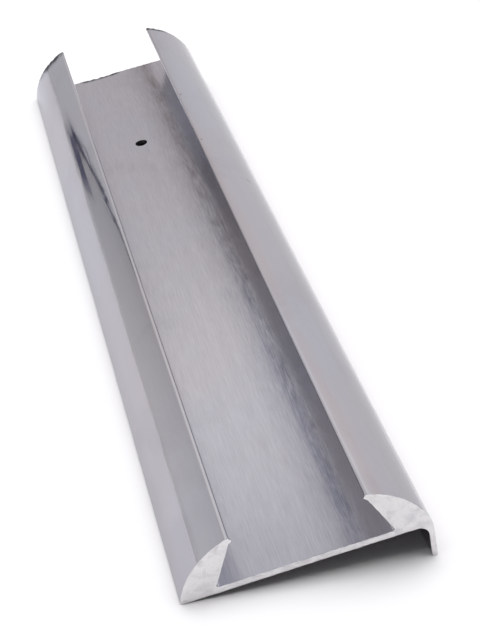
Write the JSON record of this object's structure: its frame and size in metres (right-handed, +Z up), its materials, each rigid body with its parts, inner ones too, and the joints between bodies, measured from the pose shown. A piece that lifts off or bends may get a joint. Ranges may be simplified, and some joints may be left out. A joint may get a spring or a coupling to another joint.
{
  "type": "aluminium extrusion profile",
  "caption": "Length of extruded aluminium channel with rounded undercut lips facing each other, a leg turned down along one edge and a screw hole in the web.",
  "frame": {"origin": "centre of the footprint, on the level floor that the piece lies on", "axes": "+Y along the length towards the end with the screw hole, +X across the section towards the leg, +Z up from the floor"},
  "size_m": [0.071, 0.3, 0.027],
  "materials": {
    "aluminium": "mill finish, satin along the length, with plain sawn ends"
  },
  "bodies": {
    "root": {"profile": "aluminium"}
  },
  "joints": []
}
